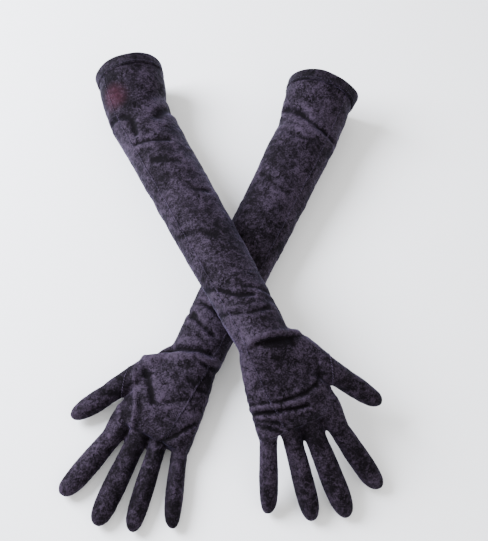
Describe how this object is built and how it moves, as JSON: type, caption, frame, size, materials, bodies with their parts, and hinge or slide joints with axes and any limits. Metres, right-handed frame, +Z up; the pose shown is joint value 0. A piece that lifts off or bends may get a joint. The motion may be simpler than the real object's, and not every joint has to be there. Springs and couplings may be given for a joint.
{
  "type": "pair of opera gloves",
  "caption": "Over-elbow velvet evening gloves with turned hems and side seams, laid crossed; open sleeves, bending elbows, wrists, thumbs and fingers.",
  "frame": {"origin": "centre of the footprint of the crossed pair, on the floor", "axes": "+Z up, +Y towards the open hems, -Y towards the fingertips, +X to the right of a person standing at the fingertips"},
  "size_m": [0.2882, 0.4798, 0.0893],
  "materials": {
    "velvet": "crushed velvet pile, near-black with purple-grey sheen",
    "hem": "velvet turned under and stitched",
    "seam": "sewn seam with matching thread"
  },
  "bodies": {
    "left_forearm": {"left_forearm_upper": "velvet", "left_forearm_seam_upper": "seam", "left_forearm_middle": "velvet", "left_forearm_seam_middle": "seam", "left_forearm_lower": "velvet", "left_forearm_seam_lower": "seam"},
    "left_cuff": {"left_cuff_sleeve": "velvet", "left_cuff_seam": "seam", "left_hem_band": "hem"},
    "left_hand": {"left_thumb_inset": "velvet", "left_hand_trank": "velvet", "left_hand_seam": "seam"},
    "left_index": {"left_index_lower": "velvet"},
    "left_index_tip": {"left_index_tip": "velvet"},
    "left_middle": {"left_middle_lower": "velvet"},
    "left_middle_tip": {"left_middle_tip": "velvet"},
    "left_ring": {"left_ring_lower": "velvet"},
    "left_ring_tip": {"left_ring_tip": "velvet"},
    "left_little": {"left_little_lower": "velvet"},
    "left_little_tip": {"left_little_tip": "velvet"},
    "left_thumb": {"left_thumb_lower": "velvet"},
    "left_thumb_tip": {"left_thumb_tip": "velvet"},
    "right_cuff": {"right_cuff_sleeve": "velvet", "right_cuff_seam": "seam", "right_hem_band": "hem"},
    "right_forearm": {"right_forearm_upper": "velvet", "right_forearm_seam_upper": "seam", "right_forearm_middle": "velvet", "right_forearm_seam_middle": "seam", "right_forearm_lower": "velvet", "right_forearm_seam_lower": "seam"},
    "right_hand": {"right_thumb_inset": "velvet", "right_hand_trank": "velvet", "right_hand_seam": "seam"},
    "right_index": {"right_index_lower": "velvet"},
    "right_index_tip": {"right_index_tip": "velvet"},
    "right_middle": {"right_middle_lower": "velvet"},
    "right_middle_tip": {"right_middle_tip": "velvet"},
    "right_ring": {"right_ring_lower": "velvet"},
    "right_ring_tip": {"right_ring_tip": "velvet"},
    "right_little": {"right_little_lower": "velvet"},
    "right_little_tip": {"right_little_tip": "velvet"},
    "right_thumb": {"right_thumb_lower": "velvet"},
    "right_thumb_tip": {"right_thumb_tip": "velvet"}
  },
  "joints": [
    {"name": "right_glove_lift", "type": "slide", "parent": "left_forearm", "child": "right_forearm", "axis": [0, 0, 1], "range_m": [0, 0.15]},
    {"name": "left_index_middle_joint", "type": "hinge", "parent": "left_index", "child": "left_index_tip", "pos_m": [-0.11981, -0.18051, 0.00949], "axis": [0.7891, -0.6143, 0], "range_deg": [0, 84]},
    {"name": "left_index_knuckle", "type": "hinge", "parent": "left_hand", "child": "left_index", "pos_m": [-0.09619, -0.15016, 0.01083], "axis": [0.8846, -0.4664, 0], "range_deg": [-15, 75]},
    {"name": "left_middle_middle_joint", "type": "hinge", "parent": "left_middle", "child": "left_middle_tip", "pos_m": [-0.09625, -0.19871, 0.00947], "axis": [0.9178, -0.3971, 0], "range_deg": [0, 84]},
    {"name": "left_middle_knuckle", "type": "hinge", "parent": "left_hand", "child": "left_middle", "pos_m": [-0.07953, -0.16007, 0.01075], "axis": [0.8846, -0.4664, 0], "range_deg": [-15, 75]},
    {"name": "left_ring_middle_joint", "type": "hinge", "parent": "left_ring", "child": "left_ring_tip", "pos_m": [-0.0714, -0.20349, 0.00964], "axis": [0.9636, -0.2672, 0], "range_deg": [0, 84]},
    {"name": "left_ring_knuckle", "type": "hinge", "parent": "left_hand", "child": "left_ring", "pos_m": [-0.06057, -0.16443, 0.01115], "axis": [0.8846, -0.4664, 0], "range_deg": [-15, 75]},
    {"name": "left_little_middle_joint", "type": "hinge", "parent": "left_little", "child": "left_little_tip", "pos_m": [-0.04452, -0.20242, 0.00992], "axis": [0.9956, -0.0941, 0], "range_deg": [0, 84]},
    {"name": "left_little_knuckle", "type": "hinge", "parent": "left_hand", "child": "left_little", "pos_m": [-0.04105, -0.16571, 0.01177], "axis": [0.8846, -0.4664, 0], "range_deg": [-15, 75]},
    {"name": "left_thumb_middle_joint", "type": "hinge", "parent": "left_thumb", "child": "left_thumb_tip", "pos_m": [-0.11803, -0.12229, 0.01194], "axis": [0.544, -0.7984, -0.2582], "range_deg": [0, 70]},
    {"name": "left_thumb_knuckle", "type": "hinge", "parent": "left_hand", "child": "left_thumb", "pos_m": [-0.09372, -0.10638, 0.01397], "axis": [0.544, -0.7984, -0.2582], "range_deg": [-20, 50]},
    {"name": "left_elbow", "type": "hinge", "parent": "left_forearm", "child": "left_cuff", "pos_m": [0.0831, 0.15922, 0.0278], "axis": [0, 0, 1], "range_deg": [-7.8, 48.2]},
    {"name": "left_wrist", "type": "hinge", "parent": "left_forearm", "child": "left_hand", "pos_m": [-0.02472, -0.07627, 0.0186], "axis": [0.8846, -0.4664, 0], "range_deg": [-47.8, 57.2]},
    {"name": "right_index_middle_joint", "type": "hinge", "parent": "right_index", "child": "right_index_tip", "pos_m": [0.11727, -0.17813, 0.02498], "axis": [0.7727, 0.6347, 0], "range_deg": [0, 84]},
    {"name": "right_index_knuckle", "type": "hinge", "parent": "right_hand", "child": "right_index", "pos_m": [0.09621, -0.1525, 0.04448], "axis": [0.9143, 0.4051, 0], "range_deg": [-15, 75]},
    {"name": "right_middle_middle_joint", "type": "hinge", "parent": "right_middle", "child": "right_middle_tip", "pos_m": [0.09455, -0.19526, 0.02495], "axis": [0.9085, 0.4179, 0], "range_deg": [0, 84]},
    {"name": "right_middle_knuckle", "type": "hinge", "parent": "right_hand", "child": "right_middle", "pos_m": [0.0789, -0.16122, 0.04421], "axis": [0.9143, 0.4051, 0], "range_deg": [-15, 75]},
    {"name": "right_ring_middle_joint", "type": "hinge", "parent": "right_ring", "child": "right_ring_tip", "pos_m": [0.06995, -0.1982, 0.02552], "axis": [0.9573, 0.289, 0], "range_deg": [0, 84]},
    {"name": "right_ring_knuckle", "type": "hinge", "parent": "right_hand", "child": "right_ring", "pos_m": [0.05976, -0.16444, 0.04555], "axis": [0.9143, 0.4051, 0], "range_deg": [-15, 75]},
    {"name": "right_little_middle_joint", "type": "hinge", "parent": "right_little", "child": "right_little_tip", "pos_m": [0.04115, -0.19475, 0.02638], "axis": [0.9996, 0.0279, 0], "range_deg": [0, 84]},
    {"name": "right_little_knuckle", "type": "hinge", "parent": "right_hand", "child": "right_little", "pos_m": [0.04031, -0.16463, 0.0477], "axis": [0.9143, 0.4051, 0], "range_deg": [-15, 75]},
    {"name": "right_thumb_middle_joint", "type": "hinge", "parent": "right_thumb", "child": "right_thumb_tip", "pos_m": [0.12075, -0.12039, 0.04156], "axis": [0.5053, 0.8321, 0.2285], "range_deg": [0, 70]},
    {"name": "right_thumb_knuckle", "type": "hinge", "parent": "right_hand", "child": "right_thumb", "pos_m": [0.09728, -0.10989, 0.05523], "axis": [0.5053, 0.8321, 0.2285], "range_deg": [-20, 50]},
    {"name": "right_elbow", "type": "hinge", "parent": "right_forearm", "child": "right_cuff", "pos_m": [-0.08966, 0.17888, 0.0365], "axis": [0, 0, -1], "range_deg": [-11.5, 44.5]},
    {"name": "right_wrist", "type": "hinge", "parent": "right_forearm", "child": "right_hand", "pos_m": [0.03128, -0.07697, 0.0711], "axis": [0.9143, 0.4051, 0], "range_deg": [-66.6, 38.4]}
  ]
}
